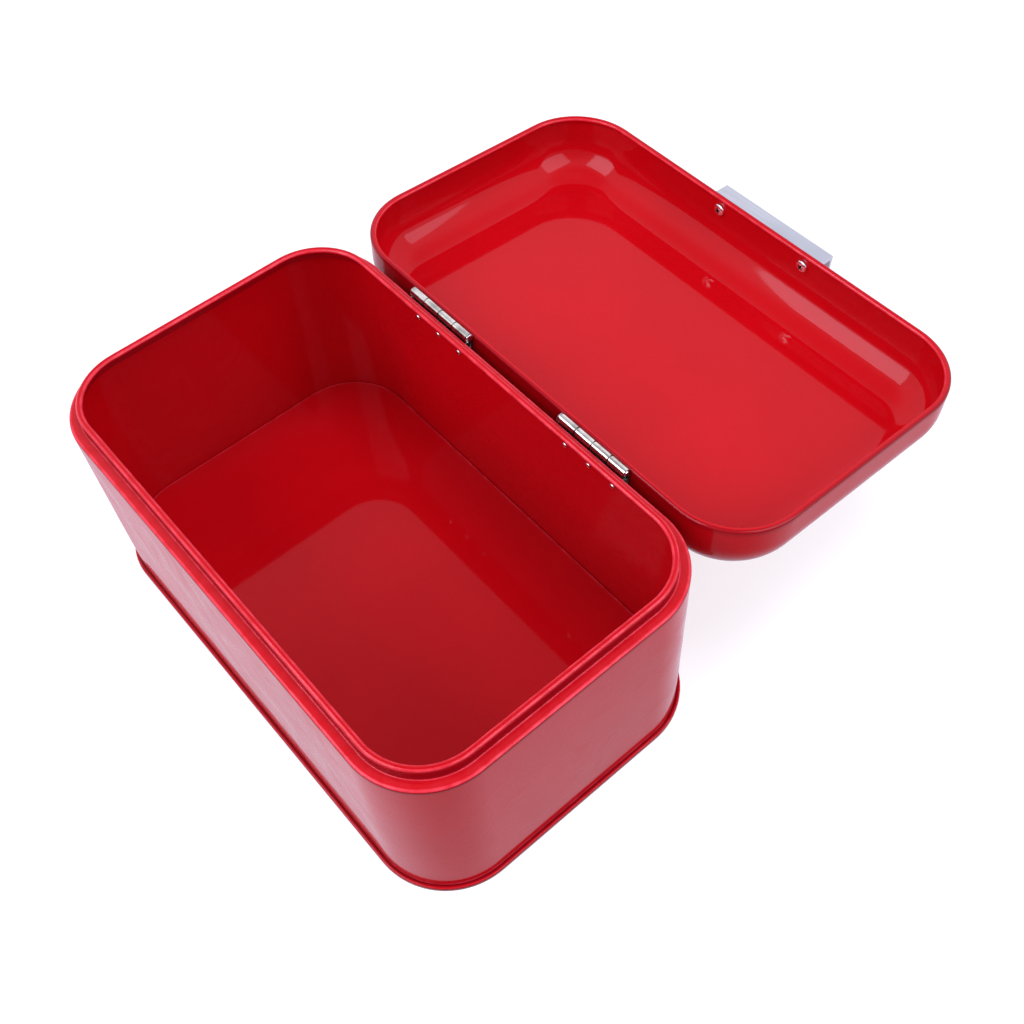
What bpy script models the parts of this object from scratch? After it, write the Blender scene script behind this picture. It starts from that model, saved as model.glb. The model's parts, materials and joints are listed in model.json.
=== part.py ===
"""Hinged sheet metal food box, modelled open with its lid lying back behind the body.

Metres, +Z up. The box stands on z = 0 with its front towards -Y, its two hinges towards +Y and
+X on its right. The origin is the middle of the open box's footprint.
"""
import math

import bmesh
import bpy
from mathutils import Matrix, Vector

MM = 0.001

# ---- driving dimensions -------------------------------------------------------------------
# overall sizes, measured over the painted walls
BODY_LENGTH = 305.0 * MM
BODY_WIDTH = 183.0 * MM
BODY_HEIGHT = 127.1 * MM           # from the resting ring to the top of the rolled rim
CORNER_RADIUS = 40.0 * MM
LID_DEPTH = 39.2 * MM

# sheet metal
SHEET = 0.6 * MM
GAP = 0.3 * MM                     # between two pieces that touch on the real box
BEAD_SWEEP = 300.0                 # degrees that a rim's edge is rolled round
BEND_RADIUS = 0.8 * MM             # middle of the sheet at a tight fold
FLOOR_BORDER = 6.4 * MM            # of the floor, swept with its skirt before the flat is filled

# body: shoulder, neck and rolled rim, and the seam round the base
NECK_HEIGHT = 7.9 * MM             # from the ledge that the lid sits over to the rim
NECK_INSET = 5.7 * MM
SHOULDER_RADIUS = 1.3 * MM
RIM_BEAD_RADIUS = 1.75 * MM
FLOOR_HEIGHT = 10.1 * MM
SEAM_PROTRUSION = 2.2 * MM
SEAM_HEIGHT = 3.5 * MM

# lid
LID_BEAD_RADIUS = 1.75 * MM
LID_FILLET_RADIUS = 23.8 * MM
OPEN_ANGLE = math.radians(183.6)

# hinges: a rolled-knuckle leaf on the body and one on the lid
HINGE_LENGTH = 47.0 * MM
HINGE_END_DISTANCE = 69.6 * MM     # from the box's end to the near end of its hinge
KNUCKLE_COUNT = 4
KNUCKLE_RADIUS = 2.45 * MM
KNUCKLE_SWEEP = 285.0              # degrees that a leaf is rolled round the pin
LEAF_THICKNESS = 0.8 * MM
LEAF_HEIGHT = 19.0 * MM            # from the axis to the leaf's free edge
AXIS_ABOVE_SEAT = 0.5 * MM
PIN_HEAD_THICKNESS = 0.8 * MM

# rivets, three through each leaf
RIVET_COUNT = 3
RIVET_END_MARGIN = 6.2 * MM        # from the leaf's end to the outer rivets
RIVET_EDGE_MARGIN = 5.8 * MM       # from the leaf's free edge to the row of rivets
RIVET_RADIUS = 1.2 * MM
RIVET_HEAD_RADIUS = 2.1 * MM
RIVET_TAIL_RADIUS = 1.7 * MM
RIVET_TAIL_HEIGHT = 0.8 * MM
RIVET_CROWN_SHARE = 0.6            # of a head's or a tail's radius that is flat
RIVET_SIDE_SHARE = 0.4             # of a head's height that is upright

# handle: a channel-section pull held by two screws from inside the lid
HANDLE_LENGTH = 82.0 * MM
HANDLE_DEPTH = 14.0 * MM           # from the lid's wall to the face of the grip
HANDLE_HEIGHT = 10.0 * MM
HANDLE_ABOVE_SEAT = 5.4 * MM
HANDLE_THICKNESS = 2.2 * MM
SCREW_END_MARGIN = 9.0 * MM        # from the handle's end to its screw
SCREW_RADIUS = 1.8 * MM
SCREW_HEAD_RADIUS = 3.4 * MM
SCREW_HEAD_HEIGHT = 2.2 * MM
SCREW_CROWN_SHARE = 0.7            # of the head's radius that is flat
SCREW_SIDE_SHARE = 0.6             # of the head's height that is upright
RECESS_WIDTH = 0.9 * MM
RECESS_SPAN = 3.6 * MM
RECESS_DEPTH = 1.2 * MM

# facets
MERGE = 0.01 * MM                  # points nearer than this become one
SHARP_ANGLE = math.radians(35.0)
CORNER_STEPS = 7
FOLD_STEPS = 3
BEAD_STEPS = 10
FILLET_STEPS = 6
KNUCKLE_STEPS = 16
ROUND_STEPS = 14
BORE_STEPS = 14

# ---- sizes that follow --------------------------------------------------------------------
HALF = SHEET / 2
SHOULDER_HEIGHT = BODY_HEIGHT - NECK_HEIGHT
LID_SEAT = SHOULDER_HEIGHT + GAP
FRONT_WALL_Y = -BODY_WIDTH / 2
REAR_WALL_Y = BODY_WIDTH / 2
AXIS_Y = REAR_WALL_Y + GAP + KNUCKLE_RADIUS
AXIS_Z = LID_SEAT + AXIS_ABOVE_SEAT
HINGE_SPACING = BODY_LENGTH - 2 * HINGE_END_DISTANCE - HINGE_LENGTH
LEAF_ROLL_RADIUS = KNUCKLE_RADIUS - LEAF_THICKNESS / 2
PIN_RADIUS = KNUCKLE_RADIUS - LEAF_THICKNESS - GAP
RIVET_HOLE_RADIUS = RIVET_RADIUS + GAP
RIVET_SPACING = (HINGE_LENGTH - 2 * RIVET_END_MARGIN) / (RIVET_COUNT - 1)
RIVET_DROP = LEAF_HEIGHT - RIVET_EDGE_MARGIN
SCREW_HOLE_RADIUS = SCREW_RADIUS + GAP
SCREW_SPACING = HANDLE_LENGTH - 2 * SCREW_END_MARGIN
SCREW_HEIGHT = LID_SEAT + HANDLE_ABOVE_SEAT + HANDLE_HEIGHT / 2
# the lid's wall is upright as far as its rivets and its handle need a flat to sit on
LID_UPRIGHT = max(HANDLE_ABOVE_SEAT + HANDLE_HEIGHT,
                  AXIS_ABOVE_SEAT + RIVET_DROP + RIVET_TAIL_RADIUS)
LID_CURVE = min(LID_FILLET_RADIUS, LID_DEPTH - LID_UPRIGHT)
# the two rows of rivet heads meet when the lid is fully back: that is its stop
LEAF_SPACE = 2 * (KNUCKLE_RADIUS - LEAF_THICKNESS)
LEAF_TILT = (RIVET_DROP + RIVET_HEAD_RADIUS) * math.sin(OPEN_ANGLE - math.pi)
RIVET_HEAD_HEIGHT = (LEAF_SPACE - LEAF_TILT) / 2 - GAP - GAP / 2
# lengths of the cutters, which reach past both faces of what they cut
SHEET_CUT = 6 * SHEET
LEAF_CUT = 4 * LEAF_THICKNESS
HANDLE_CUT = 2 * HANDLE_THICKNESS
# the open lid's far point is the handle's lower outer edge
HANDLE_REACH_Y = FRONT_WALL_Y - HANDLE_DEPTH - AXIS_Y
HANDLE_REACH_Z = LID_SEAT + HANDLE_ABOVE_SEAT - AXIS_Z
OPEN_REACH = (AXIS_Y + HANDLE_REACH_Y * math.cos(OPEN_ANGLE)
              + HANDLE_REACH_Z * math.sin(OPEN_ANGLE))
FOOTPRINT_MIDDLE_Y = (OPEN_REACH + FRONT_WALL_Y - SEAM_PROTRUSION) / 2

# colour, roughness, metallic share and clear coat of each finish
RED_GLOSS_PAINT = ((0.62, 0.008, 0.014), 0.12, 0.0, 1.0)
NICKEL_PLATE = ((0.72, 0.72, 0.70), 0.25, 1.0, 0.0)
BRIGHT_STEEL = ((0.80, 0.80, 0.80), 0.20, 1.0, 0.0)
SATIN_ALUMINIUM = ((0.78, 0.79, 0.81), 0.35, 1.0, 0.0)


# ---- scene and materials ------------------------------------------------------------------
def clear_scene():
    for obj in list(bpy.data.objects):
        bpy.data.objects.remove(obj, do_unlink=True)


def new_collection(name):
    collection = bpy.data.collections.new(name)
    bpy.context.scene.collection.children.link(collection)
    return collection


def principled(name, finish):
    colour, roughness, metallic, coat = finish
    material = bpy.data.materials.new(name)
    material.use_nodes = True
    shader = material.node_tree.nodes["Principled BSDF"]
    shader.inputs["Base Color"].default_value = (*colour, 1.0)
    shader.inputs["Roughness"].default_value = roughness
    shader.inputs["Metallic"].default_value = metallic
    shader.inputs["Coat Weight"].default_value = coat
    return material


def add_object(name, mesh, collection, material=None, parent=None, offset=(0, 0, 0)):
    obj = bpy.data.objects.new(name, mesh)
    obj.location = offset
    obj.parent = parent
    collection.objects.link(obj)
    if material:
        mesh.materials.append(material)
    return obj


def smooth(mesh):
    mesh.shade_smooth()
    mesh.set_sharp_from_angle(angle=SHARP_ANGLE)


def to_mesh(bm, name):
    mesh = bpy.data.meshes.new(name)
    bm.to_mesh(mesh)
    bm.free()
    return mesh


def add_solidify(obj, thickness):
    modifier = obj.modifiers.new("sheet thickness", 'SOLIDIFY')
    modifier.thickness = thickness
    modifier.offset = 0.0
    modifier.use_even_offset = True


def cut(obj, cutter):
    cutter.hide_render = True
    cutter.display_type = 'WIRE'
    modifier = obj.modifiers.new("cut " + cutter.name, 'BOOLEAN')
    modifier.operation = 'DIFFERENCE'
    modifier.solver = 'EXACT'
    modifier.object = cutter


# ---- outlines of bent sheet, as (outward, height) points of the sheet's middle -------------
def arc(centre, radius, start, end, steps):
    """Points on an arc, angles in degrees from the outward direction towards +height."""
    points = []
    for i in range(steps + 1):
        angle = math.radians(start + (end - start) * i / steps)
        points.append((centre[0] + radius * math.cos(angle), centre[1] + radius * math.sin(angle)))
    return points


def body_section():
    """Base flange, wall, shoulder, ledge, neck and the rim rolled inwards."""
    wall = -HALF
    flange_height = SHEET + GAP + HALF
    flange_tip = SEAM_PROTRUSION - SHEET - GAP
    ledge = SHOULDER_HEIGHT - HALF
    neck = -NECK_INSET - HALF
    bead = (-NECK_INSET - RIM_BEAD_RADIUS, BODY_HEIGHT - RIM_BEAD_RADIUS)
    points = [(flange_tip, flange_height)]
    points += arc((wall + BEND_RADIUS, flange_height + BEND_RADIUS), BEND_RADIUS,
                  270, 180, FOLD_STEPS)
    points += arc((wall - SHOULDER_RADIUS, ledge - SHOULDER_RADIUS), SHOULDER_RADIUS,
                  0, 90, FOLD_STEPS + 1)
    points += arc((neck + BEND_RADIUS, ledge + BEND_RADIUS), BEND_RADIUS, 270, 180, FOLD_STEPS)
    points += arc(bead, RIM_BEAD_RADIUS - HALF, 0, BEAD_SWEEP, BEAD_STEPS)
    return points


def bottom_section():
    """Floor, skirt down inside the wall, and the seam hooked out and over the wall's flange."""
    skirt = -SHEET - GAP - HALF
    seam = SEAM_PROTRUSION - HALF
    floor = FLOOR_HEIGHT - HALF
    fold = BEND_RADIUS - HALF / 2
    points = [(skirt - FLOOR_BORDER, floor)]
    points += arc((skirt - BEND_RADIUS, floor - BEND_RADIUS), BEND_RADIUS, 90, 0, FOLD_STEPS)
    points += arc((skirt + fold, HALF + fold), fold, 180, 270, FOLD_STEPS)
    points += arc((seam - fold, HALF + fold), fold, 270, 360, FOLD_STEPS)
    points += arc((seam - fold, SEAM_HEIGHT - HALF - fold), fold, 0, 90, FOLD_STEPS)
    points.append((GAP, SEAM_HEIGHT - HALF))
    return points


def lid_section():
    """Rim rolled inwards, wall, and the large curve up to the flat top."""
    wall = -HALF
    bead = (-LID_BEAD_RADIUS, LID_SEAT + LID_BEAD_RADIUS)
    top = LID_SEAT + LID_DEPTH
    curve = (-LID_CURVE, top - LID_CURVE)
    points = arc(bead, LID_BEAD_RADIUS - HALF, -BEAD_SWEEP, 0, BEAD_STEPS)
    points += arc(curve, LID_CURVE + wall, 0, 90, FILLET_STEPS)
    return points


# ---- building blocks ----------------------------------------------------------------------
def sweep_round_box(section, fill_height=None):
    """Sweep a section round the box's rounded outline, and close the flat at fill_height."""
    straight_x = BODY_LENGTH - 2 * CORNER_RADIUS
    straight_y = BODY_WIDTH - 2 * CORNER_RADIUS
    bm = bmesh.new()
    verts = [bm.verts.new((-straight_x / 2, FRONT_WALL_Y - outward, height))
             for outward, height in section]
    edges = [bm.edges.new(pair) for pair in zip(verts, verts[1:])]
    sides = ((Vector((straight_x, 0, 0)), (1, -1)), (Vector((0, straight_y, 0)), (1, 1)),
             (Vector((-straight_x, 0, 0)), (-1, 1)), (Vector((0, -straight_y, 0)), (-1, -1)))
    for run, corner in sides:
        made = bmesh.ops.extrude_edge_only(bm, edges=edges)["geom"]
        moved = [g for g in made if isinstance(g, bmesh.types.BMVert)]
        bmesh.ops.translate(bm, verts=moved, vec=run)
        edges = [g for g in made if isinstance(g, bmesh.types.BMEdge)]
        centre = (corner[0] * straight_x / 2, corner[1] * straight_y / 2, 0)
        turned_edges = bmesh.ops.spin(bm, geom=edges + moved, cent=centre, axis=(0, 0, 1),
                                      angle=math.pi / 2, steps=CORNER_STEPS)["geom_last"]
        edges = [g for g in turned_edges if isinstance(g, bmesh.types.BMEdge)]
    bmesh.ops.remove_doubles(bm, verts=bm.verts, dist=MERGE)
    if fill_height is not None:
        hole = [e for e in bm.edges if e.is_boundary
                and all(abs(v.co.z - fill_height) < MERGE for v in e.verts)]
        bmesh.ops.contextual_create(bm, geom=hole)
    bmesh.ops.recalc_face_normals(bm, faces=bm.faces)
    return bm


def extrude_section(section, length):
    """A section of (Y, Z) points drawn out along X, centred on X = 0."""
    bm = bmesh.new()
    verts = [bm.verts.new((-length / 2, y, z)) for y, z in section]
    edges = [bm.edges.new(pair) for pair in zip(verts, verts[1:])]
    made = bmesh.ops.extrude_edge_only(bm, edges=edges)["geom"]
    moved = [g for g in made if isinstance(g, bmesh.types.BMVert)]
    bmesh.ops.translate(bm, verts=moved, vec=(length, 0, 0))
    bmesh.ops.recalc_face_normals(bm, faces=bm.faces)
    return bm


def turned(name, profile, turn, place, collection, material, parent, offset):
    """A round piece: (radius, height) points from the top of its axis to the bottom."""
    bm = bmesh.new()
    verts = [bm.verts.new((radius, 0, height)) for radius, height in profile]
    for pair in zip(verts, verts[1:]):
        bm.edges.new(pair)
    obj = add_object(name, to_mesh(bm, name), collection, material, parent,
                     Vector(offset) + Vector(place))
    obj.rotation_euler = turn
    screw = obj.modifiers.new("turn", 'SCREW')
    screw.steps = ROUND_STEPS
    screw.render_steps = ROUND_STEPS
    screw.use_merge_vertices = True
    screw.merge_threshold = MERGE
    return obj


def hole_cutter(name, radius, place, reach, collection, parent, offset):
    """A round cutter along Y, wide enough that its flats clear the given radius."""
    bm = bmesh.new()
    outer = radius / math.cos(math.pi / BORE_STEPS)
    bmesh.ops.create_cone(bm, cap_ends=True, segments=BORE_STEPS, radius1=outer, radius2=outer,
                          depth=reach, matrix=Matrix.Rotation(math.pi / 2, 4, 'X'))
    return add_object(name, to_mesh(bm, name), collection, None, parent,
                      Vector(offset) + Vector(place))


def box_cutter(name, low, high, collection, parent, offset):
    bm = bmesh.new()
    bmesh.ops.create_cube(bm, size=1.0)
    size = Vector(high) - Vector(low)
    middle = (Vector(high) + Vector(low)) / 2
    bmesh.ops.scale(bm, vec=size, verts=bm.verts)
    bmesh.ops.translate(bm, vec=middle, verts=bm.verts)
    return add_object(name, to_mesh(bm, name), collection, None, parent, offset)


# ---- where the hardware sits --------------------------------------------------------------
def hinge_middles():
    return {"left": -HINGE_SPACING / 2, "right": HINGE_SPACING / 2}


def rivet_places(side):
    """X and Z of each rivet in a leaf: side is -1 for the body's leaf and 1 for the lid's."""
    places = {}
    for hinge, middle in hinge_middles().items():
        for i in range(RIVET_COUNT):
            x = middle + (i - (RIVET_COUNT - 1) / 2) * RIVET_SPACING
            places[hinge, i + 1] = (x, AXIS_Z + side * RIVET_DROP)
    return places


def screw_places():
    return {"left": -SCREW_SPACING / 2, "right": SCREW_SPACING / 2}


# ---- sheet metal parts --------------------------------------------------------------------
def make_shell(name, section, kit, fill_height=None):
    mesh = to_mesh(sweep_round_box(section, fill_height), name)
    shell = add_object(name, mesh, kit.parts, kit.paint, kit.parent, kit.offset)
    add_solidify(shell, SHEET)
    smooth(mesh)
    return shell


def make_body_wall(kit):
    wall = make_shell("body_wall", body_section(), kit)
    for (hinge, number), (x, z) in rivet_places(-1).items():
        cutter = hole_cutter(f"body_hole_{hinge}_{number}", RIVET_HOLE_RADIUS,
                             (x, REAR_WALL_Y, z), SHEET_CUT, kit.cutters, kit.parent, kit.offset)
        cut(wall, cutter)


def make_bottom_panel(kit):
    make_shell("bottom_panel", bottom_section(), kit, FLOOR_HEIGHT - HALF)


def make_lid_shell(kit):
    lid = make_shell("lid_shell", lid_section(), kit, LID_SEAT + LID_DEPTH - HALF)
    for (hinge, number), (x, z) in rivet_places(1).items():
        cutter = hole_cutter(f"lid_hole_{hinge}_{number}", RIVET_HOLE_RADIUS,
                             (x, REAR_WALL_Y, z), SHEET_CUT, kit.cutters, kit.parent, kit.offset)
        cut(lid, cutter)
    for side, x in screw_places().items():
        cutter = hole_cutter(f"lid_screw_hole_{side}", SCREW_HOLE_RADIUS,
                             (x, FRONT_WALL_Y, SCREW_HEIGHT), SHEET_CUT, kit.cutters, kit.parent,
                             kit.offset)
        cut(lid, cutter)


# ---- hinges -------------------------------------------------------------------------------
def leaf_section(side):
    """Plate and rolled knuckle in (Y, Z): side is -1 for a plate below the axis, 1 above."""
    plate = AXIS_Y - LEAF_ROLL_RADIUS
    free_edge = (plate, AXIS_Z + side * LEAF_HEIGHT)
    roll = [(y, AXIS_Z - side * (z - AXIS_Z))
            for y, z in arc((AXIS_Y, AXIS_Z), LEAF_ROLL_RADIUS, 180, 180 - KNUCKLE_SWEEP,
                            KNUCKLE_STEPS)]
    return [free_edge] + roll


def knuckle_spans(middle):
    """X from and to of each knuckle, left to right, with the gap between neighbours."""
    pitch = HINGE_LENGTH / KNUCKLE_COUNT
    start = middle - HINGE_LENGTH / 2
    return [(start + i * pitch + GAP / 2, start + (i + 1) * pitch - GAP / 2)
            for i in range(KNUCKLE_COUNT)]


def make_leaf(name, hinge, middle, side, kit):
    """The lid's leaf carries the first and third knuckles, the body's the second and fourth."""
    bm = extrude_section(leaf_section(side), HINGE_LENGTH - GAP)
    bmesh.ops.translate(bm, verts=bm.verts, vec=(middle, 0, 0))
    leaf = add_object(name, to_mesh(bm, name), kit.parts, kit.nickel, kit.parent, kit.offset)
    add_solidify(leaf, LEAF_THICKNESS)
    clear = KNUCKLE_RADIUS + GAP
    first_missing = 0 if side < 0 else 1
    for number, (start, end) in enumerate(knuckle_spans(middle)):
        if number % 2 != first_missing:
            continue
        edges = (AXIS_Z + side * clear, AXIS_Z - side * 2 * clear)
        low = (start - GAP, AXIS_Y - 2 * clear, min(edges))
        high = (end + GAP, AXIS_Y + 2 * clear, max(edges))
        cut(leaf, box_cutter(f"{name}_notch_{number + 1}", low, high, kit.cutters, kit.parent,
                             kit.offset))
    for (owner, number), (x, z) in rivet_places(side).items():
        if owner != hinge:
            continue
        place = (x, AXIS_Y - LEAF_ROLL_RADIUS, z)
        cut(leaf, hole_cutter(f"{name}_hole_{number}", RIVET_HOLE_RADIUS, place,
                              LEAF_CUT, kit.cutters, kit.parent, kit.offset))


def make_pin(hinge, middle, kit):
    """The pin lies along X with its flat head at the hinge's end nearer the box's middle."""
    head_side = 1 if middle < 0 else -1
    length = HINGE_LENGTH + GAP
    profile = [(0, length / 2 + PIN_HEAD_THICKNESS),
               (KNUCKLE_RADIUS, length / 2 + PIN_HEAD_THICKNESS),
               (KNUCKLE_RADIUS, length / 2),
               (PIN_RADIUS, length / 2),
               (PIN_RADIUS, -length / 2),
               (0, -length / 2)]
    turned(f"{hinge}_hinge_pin", profile, (0, head_side * math.pi / 2, 0),
           (middle, AXIS_Y, AXIS_Z), kit.parts, kit.steel, kit.parent, kit.offset)


def make_rivets(piece, side, kit):
    """Head on the leaf, shank through leaf and wall, and a tail set inside the wall."""
    leaf_face = GAP + LEAF_THICKNESS + GAP
    wall_face = -SHEET - GAP
    profile = [(0, leaf_face + RIVET_HEAD_HEIGHT),
               (RIVET_CROWN_SHARE * RIVET_HEAD_RADIUS, leaf_face + RIVET_HEAD_HEIGHT),
               (RIVET_HEAD_RADIUS, leaf_face + RIVET_SIDE_SHARE * RIVET_HEAD_HEIGHT),
               (RIVET_HEAD_RADIUS, leaf_face),
               (RIVET_RADIUS, leaf_face),
               (RIVET_RADIUS, wall_face),
               (RIVET_TAIL_RADIUS, wall_face),
               (RIVET_CROWN_SHARE * RIVET_TAIL_RADIUS, wall_face - RIVET_TAIL_HEIGHT),
               (0, wall_face - RIVET_TAIL_HEIGHT)]
    for (hinge, number), (x, z) in rivet_places(side).items():
        turned(f"{hinge}_hinge_{piece}_rivet_{number}", profile, (-math.pi / 2, 0, 0),
               (x, REAR_WALL_Y, z), kit.parts, kit.steel, kit.parent, kit.offset)


# ---- handle -------------------------------------------------------------------------------
def make_handle(kit):
    """Channel pull, open upwards on the closed lid: back leg, base and grip."""
    half = HANDLE_THICKNESS / 2
    back = FRONT_WALL_Y - GAP - half
    grip = FRONT_WALL_Y - HANDLE_DEPTH + half
    base = LID_SEAT + HANDLE_ABOVE_SEAT + half
    top = LID_SEAT + HANDLE_ABOVE_SEAT + HANDLE_HEIGHT
    bm = extrude_section([(back, top), (back, base), (grip, base), (grip, top)], HANDLE_LENGTH)
    handle = add_object("lid_handle", to_mesh(bm, "lid_handle"), kit.parts, kit.aluminium,
                        kit.parent, kit.offset)
    add_solidify(handle, HANDLE_THICKNESS)
    for side, x in screw_places().items():
        cutter = hole_cutter(f"handle_screw_hole_{side}", SCREW_HOLE_RADIUS,
                             (x, back, SCREW_HEIGHT), HANDLE_CUT, kit.cutters,
                             kit.parent, kit.offset)
        cut(handle, cutter)


def make_handle_screws(kit):
    """Pan heads inside the lid's front wall, with a cross recess, threaded into the back leg."""
    under_head = SHEET + GAP
    crown = under_head + SCREW_HEAD_HEIGHT
    tip = -GAP - HANDLE_THICKNESS - GAP
    profile = [(0, crown),
               (SCREW_CROWN_SHARE * SCREW_HEAD_RADIUS, crown),
               (SCREW_HEAD_RADIUS, under_head + SCREW_SIDE_SHARE * SCREW_HEAD_HEIGHT),
               (SCREW_HEAD_RADIUS, under_head),
               (SCREW_RADIUS, under_head),
               (SCREW_RADIUS, tip),
               (0, tip)]
    for side, x in screw_places().items():
        name = f"handle_screw_{side}"
        screw = turned(name, profile, (-math.pi / 2, 0, 0), (x, FRONT_WALL_Y, SCREW_HEIGHT),
                       kit.parts, kit.steel, kit.parent, kit.offset)
        for bar, (wide, tall) in {"flat": (RECESS_SPAN, RECESS_WIDTH),
                                  "upright": (RECESS_WIDTH, RECESS_SPAN)}.items():
            low = (x - wide / 2, FRONT_WALL_Y + crown - RECESS_DEPTH, SCREW_HEIGHT - tall / 2)
            high = (x + wide / 2, FRONT_WALL_Y + crown + RECESS_DEPTH, SCREW_HEIGHT + tall / 2)
            cut(screw, box_cutter(f"{name}_recess_{bar}", low, high, kit.cutters, kit.parent,
                                  kit.offset))


# ---- assembly -----------------------------------------------------------------------------
class Kit:
    """What the pieces of one moving body share: collections, finishes, parent and offset."""

    def __init__(self, parts, cutters, finishes, parent, offset):
        self.parts = parts
        self.cutters = cutters
        self.paint, self.nickel, self.steel, self.aluminium = finishes
        self.parent = parent
        self.offset = offset


def add_empty(name, collection, location, parent=None):
    empty = bpy.data.objects.new(name, None)
    empty.empty_display_size = 20 * MM
    empty.location = location
    empty.parent = parent
    collection.objects.link(empty)
    return empty


def main():
    clear_scene()
    parts = new_collection("hinged_metal_box")
    cutters = new_collection("cutters")
    finishes = (principled("red_gloss_paint", RED_GLOSS_PAINT),
                principled("nickel_plate", NICKEL_PLATE),
                principled("bright_steel", BRIGHT_STEEL),
                principled("satin_aluminium", SATIN_ALUMINIUM))
    stand = add_empty("box_frame", parts, (0, -FOOTPRINT_MIDDLE_Y, 0))
    lid_axis = add_empty("lid_axis", parts, (0, AXIS_Y, AXIS_Z), stand)
    lid_axis.rotation_euler = (-OPEN_ANGLE, 0, 0)
    body = Kit(parts, cutters, finishes, stand, (0, 0, 0))
    lid = Kit(parts, cutters, finishes, lid_axis, (0, -AXIS_Y, -AXIS_Z))

    make_body_wall(body)
    make_bottom_panel(body)
    make_lid_shell(lid)
    for hinge, middle in hinge_middles().items():
        make_leaf(f"{hinge}_hinge_body_leaf", hinge, middle, -1, body)
        make_leaf(f"{hinge}_hinge_lid_leaf", hinge, middle, 1, lid)
        make_pin(hinge, middle, body)
    make_rivets("body", -1, body)
    make_rivets("lid", 1, lid)
    make_handle(lid)
    make_handle_screws(lid)


main()
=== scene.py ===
"""Looks of a hinged, enamelled sheet metal food box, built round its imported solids.

The frame gives every size and place. Shells, hinges, rivets, screws and the handle are modelled
again here in finer form and take the place of the faceted solids. Metres, +Z up, and the box
stands open on z = 0 with its front towards -Y.
"""

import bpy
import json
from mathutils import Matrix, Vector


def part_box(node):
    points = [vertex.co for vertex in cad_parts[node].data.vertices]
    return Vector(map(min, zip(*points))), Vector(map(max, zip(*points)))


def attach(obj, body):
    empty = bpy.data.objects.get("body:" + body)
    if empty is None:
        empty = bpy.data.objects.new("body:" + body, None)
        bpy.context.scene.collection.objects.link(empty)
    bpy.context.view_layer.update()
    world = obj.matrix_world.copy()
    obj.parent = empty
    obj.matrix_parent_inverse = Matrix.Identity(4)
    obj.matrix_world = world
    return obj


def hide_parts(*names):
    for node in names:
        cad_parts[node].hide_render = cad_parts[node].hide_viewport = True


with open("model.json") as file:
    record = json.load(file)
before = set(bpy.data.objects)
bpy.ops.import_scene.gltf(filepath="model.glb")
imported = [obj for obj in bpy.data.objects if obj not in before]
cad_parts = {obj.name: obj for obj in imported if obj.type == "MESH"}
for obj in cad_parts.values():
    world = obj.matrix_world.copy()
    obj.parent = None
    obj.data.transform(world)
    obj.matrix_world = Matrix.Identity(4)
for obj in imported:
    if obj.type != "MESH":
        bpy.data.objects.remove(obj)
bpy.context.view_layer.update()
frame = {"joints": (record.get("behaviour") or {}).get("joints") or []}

import json
import logging
import math
from dataclasses import dataclass, field
from enum import Enum

import bmesh
import bpy
from mathutils import Matrix, Vector

LOG = logging.getLogger("food_box")
MM = 0.001
MERGE = 0.01 * MM
CLEARANCE = 0.01 * MM
SHARP_ANGLE = math.radians(38.0)
# Vertex attributes: the first lightens bends and rims as rubbed paint with painted highlights; the
# second darkens creases, seams and hinge flanks as painted shade.
WEAR_AND_HIGHLIGHT = "rim_wear_highlight"
SHADE_MASK = "shade_paint_mask"

Point = tuple[float, float]
Colour = tuple[float, float, float]


# ---- sizes read from the frame --------------------------------------------------------------
@dataclass(frozen=True)
class Measures:
    """Sizes of the box that every sub-assembly shares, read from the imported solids."""

    length: float
    width: float
    rim_height: float
    floor_height: float
    seam: float
    centre_y: float
    axis: Vector
    open_angle: float
    corner: float = 40.0 * MM
    sheet: float = 0.6 * MM
    gap: float = 0.3 * MM
    neck_height: float = 7.9 * MM

    @classmethod
    def from_frame(cls) -> "Measures":
        """Read the overall sizes from the solids' boxes and the hinge from its joint.

        Returns:
            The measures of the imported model.
        """
        panel_low, panel_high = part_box("bottom_panel")
        lid_low, lid_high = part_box("lid_shell")
        joint = frame["joints"][0]
        seam = (panel_high.x - panel_low.x - (lid_high.x - lid_low.x)) / 2 - CLEARANCE
        return cls(
            length=lid_high.x - lid_low.x,
            width=panel_high.y - panel_low.y - 2 * (seam + CLEARANCE),
            rim_height=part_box("body_wall")[1].z - CLEARANCE,
            floor_height=panel_high.z,
            seam=seam,
            centre_y=(panel_low.y + panel_high.y) / 2,
            axis=Vector(joint["pos_m"]),
            open_angle=math.radians(joint["range_deg"][1]),
        )

    @property
    def half(self) -> float:
        """Half of the sheet's thickness."""
        return self.sheet / 2

    @property
    def ledge(self) -> float:
        """Height of the ledge round the neck, which the lid's hem sits over."""
        return self.rim_height - self.neck_height

    @property
    def seat(self) -> float:
        """Height of the closed lid's hem."""
        return self.ledge + self.gap

    @property
    def front(self) -> float:
        """Y of the body's front wall."""
        return self.centre_y - self.width / 2

    @property
    def rear(self) -> float:
        """Y of the body's rear wall."""
        return self.centre_y + self.width / 2

    @property
    def lid_swing(self) -> Matrix:
        """The turn about the hinge that takes the closed lid to where it lies open."""
        turn = Matrix.Rotation(-self.open_angle, 4, 'X')
        return Matrix.Translation(self.axis) @ turn @ Matrix.Translation(-self.axis)


class Body(Enum):
    """The two rigid bodies that a piece can ride on."""

    BODY = "body"
    LID = "lid"


class Slot(Enum):
    """The record's material slots."""

    PAINT = "red_paint"
    NICKEL = "hinge_nickel"
    STEEL = "bright_steel"
    ALUMINIUM = "handle_aluminium"


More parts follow.
